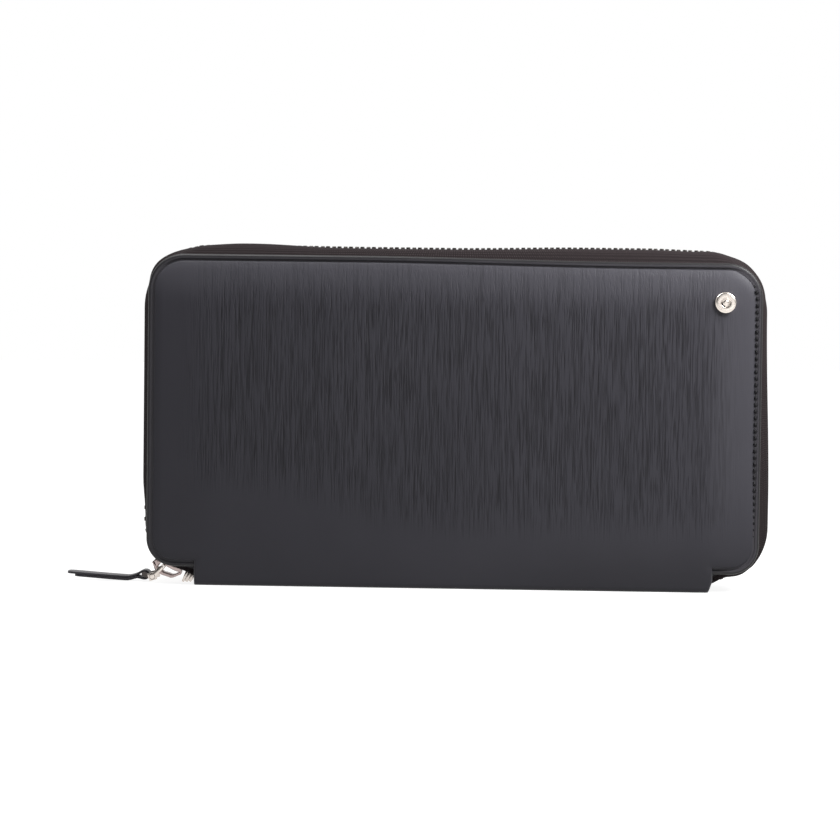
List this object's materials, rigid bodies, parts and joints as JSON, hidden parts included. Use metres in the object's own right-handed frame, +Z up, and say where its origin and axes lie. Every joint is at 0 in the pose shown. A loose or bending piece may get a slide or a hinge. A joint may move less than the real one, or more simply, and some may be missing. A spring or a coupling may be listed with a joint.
{
  "type": "fountain pen case",
  "caption": "Long zip-round leather case for fountain pens that stands on its spine; padded covers fold open to elastic pen loops and a slip pocket, with a leather zip pull.",
  "frame": {"origin": "middle of the spine's underside, which rests on the table", "axes": "+X along the spine to the right seen from the front, +Y from the front cover to the back cover, +Z up"},
  "size_m": [0.2243, 0.0281, 0.1094],
  "materials": {
    "grained_leather": "vertical embossed grain, semi-matt",
    "smooth_leather": "smooth calf, semi-matt",
    "lining_leather": "thin smooth leather, matt",
    "leather_board": "bonded leather fibre board",
    "foam": "thin foam sheet",
    "zip_tape": "woven polyester, matt",
    "zip_metal": "blackened metal",
    "elastic": "ribbed elastic webbing",
    "thread": "waxed polyester",
    "steel": "polished nickel-plated"
  },
  "bodies": {
    "spine": {"spine_leather": "grained_leather", "spine_board": "leather_board", "spine_lining": "lining_leather", "zip_anchor_left": "smooth_leather", "zip_anchor_right": "smooth_leather", "tape_end_left": "zip_tape", "tape_end_right": "zip_tape", "top_stops": "steel", "bottom_stop": "steel", "end_teeth": "zip_metal"},
    "front_cover": {"front_leather": "grained_leather", "front_padding": "foam", "front_board": "leather_board", "front_lining": "lining_leather", "front_thread": "thread", "front_tape": "zip_tape", "front_teeth": "zip_metal", "front_corner_teeth": "zip_metal", "stud_cap": "steel", "stud_post": "steel", "stud_burr": "steel", "slip_pocket": "smooth_leather"},
    "back_cover": {"back_leather": "grained_leather", "back_padding": "foam", "back_board": "leather_board", "back_lining": "lining_leather", "back_thread": "thread", "back_tape": "zip_tape", "back_teeth": "zip_metal", "back_corner_teeth": "zip_metal", "pen_panel": "smooth_leather", "pen_band_left": "elastic", "pen_band_right": "elastic"},
    "slider": {"slider_body": "steel", "slider_crown": "steel"},
    "pull_ring": {"pull_ring": "steel"},
    "pull_strap": {"pull_strap": "smooth_leather"}
  },
  "joints": [
    {"name": "front_cover_fold", "type": "hinge", "parent": "spine", "child": "front_cover", "pos_m": [0, -0.0128, 0.0007], "axis": [1, 0, 0], "range_deg": [0, 90]},
    {"name": "back_cover_fold", "type": "hinge", "parent": "spine", "child": "back_cover", "pos_m": [0, 0.0128, 0.0007], "axis": [-1, 0, 0], "range_deg": [0, 90]},
    {"name": "slider_travel", "type": "hinge", "parent": "spine", "child": "slider", "pos_m": [-0.0826, 0, 0.0204], "axis": [0, 1, 0], "range_deg": [0, 43], "deforming": ["front_corner_teeth", "back_corner_teeth"]},
    {"name": "pull_ring_swing", "type": "hinge", "parent": "slider", "child": "pull_ring", "pos_m": [-0.09412, 0, 0.00454], "axis": [0, 1, 0], "range_deg": [-90, 10]},
    {"name": "pull_strap_swing", "type": "hinge", "parent": "pull_ring", "child": "pull_strap", "pos_m": [-0.09937, 0, 0.00258], "axis": [0, 1, 0], "range_deg": [-60, 30]}
  ]
}
